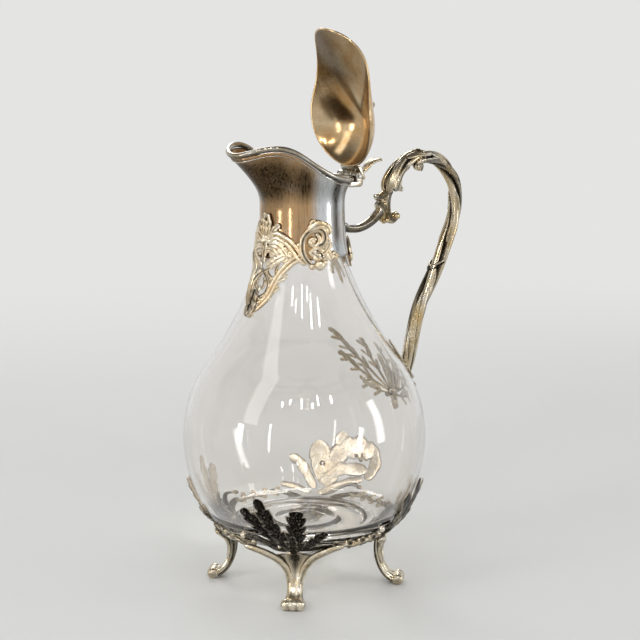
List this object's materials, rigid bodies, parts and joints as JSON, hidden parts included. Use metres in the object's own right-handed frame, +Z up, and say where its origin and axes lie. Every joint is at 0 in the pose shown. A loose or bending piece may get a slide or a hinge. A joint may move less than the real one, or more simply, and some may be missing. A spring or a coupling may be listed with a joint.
{
  "type": "claret jug",
  "caption": "Pear-shaped glass claret jug in a silver-plated mount with a wavy pouring lip, a domed hinged lid, a scrolled vine handle and scroll feet.",
  "frame": {"origin": "centre of the bounding box on the table, between the four feet", "axes": "+Z up, the spout towards -X, the handle towards +X, +Y across"},
  "size_m": [0.2032, 0.149, 0.3451],
  "materials": {
    "clear_glass": "clear soda-lime glass, polished",
    "mount_silver": "polished silver plate with warm tarnish",
    "lid_silver": "polished silver plate, golden tarnish inside",
    "cast_silver": "cast silver plate, dark in the recesses",
    "dark_cast_silver": "cast silver plate with heavy dark tarnish",
    "plaster": "matt plaster",
    "pin_steel": "drawn pin"
  },
  "bodies": {
    "jug": {"glass_body": "clear_glass", "neck_cement": "plaster", "neck_mount": "mount_silver", "rim_moulding": "cast_silver", "front_lappet": "cast_silver", "back_lappet": "cast_silver", "left_scroll": "cast_silver", "right_scroll": "cast_silver", "hinge_bracket": "cast_silver", "hinge_pin": "pin_steel", "handle_bracket": "cast_silver", "handle_arm": "cast_silver", "handle_volute": "cast_silver", "handle_loop": "cast_silver", "handle_bud": "cast_silver", "handle_spray": "cast_silver", "leg_front_left": "dark_cast_silver", "leg_front_right": "dark_cast_silver", "leg_back_left": "dark_cast_silver", "leg_back_right": "dark_cast_silver", "leaf_fan_front_left": "dark_cast_silver", "leaf_fan_front_right": "dark_cast_silver", "leaf_fan_back_left": "dark_cast_silver", "leaf_fan_back_right": "dark_cast_silver", "garland_front": "dark_cast_silver", "garland_left": "dark_cast_silver", "garland_back": "dark_cast_silver", "garland_right": "dark_cast_silver"},
    "lid": {"lid_hinge_leaf": "cast_silver", "lid": "lid_silver", "lid_finial": "cast_silver", "thumbpiece": "cast_silver"}
  },
  "joints": [
    {"name": "lid_hinge", "type": "hinge", "parent": "jug", "child": "lid", "pos_m": [0.0097, 0, 0.251], "axis": [0, 1, 0], "range_deg": [-64.5, 6]}
  ]
}
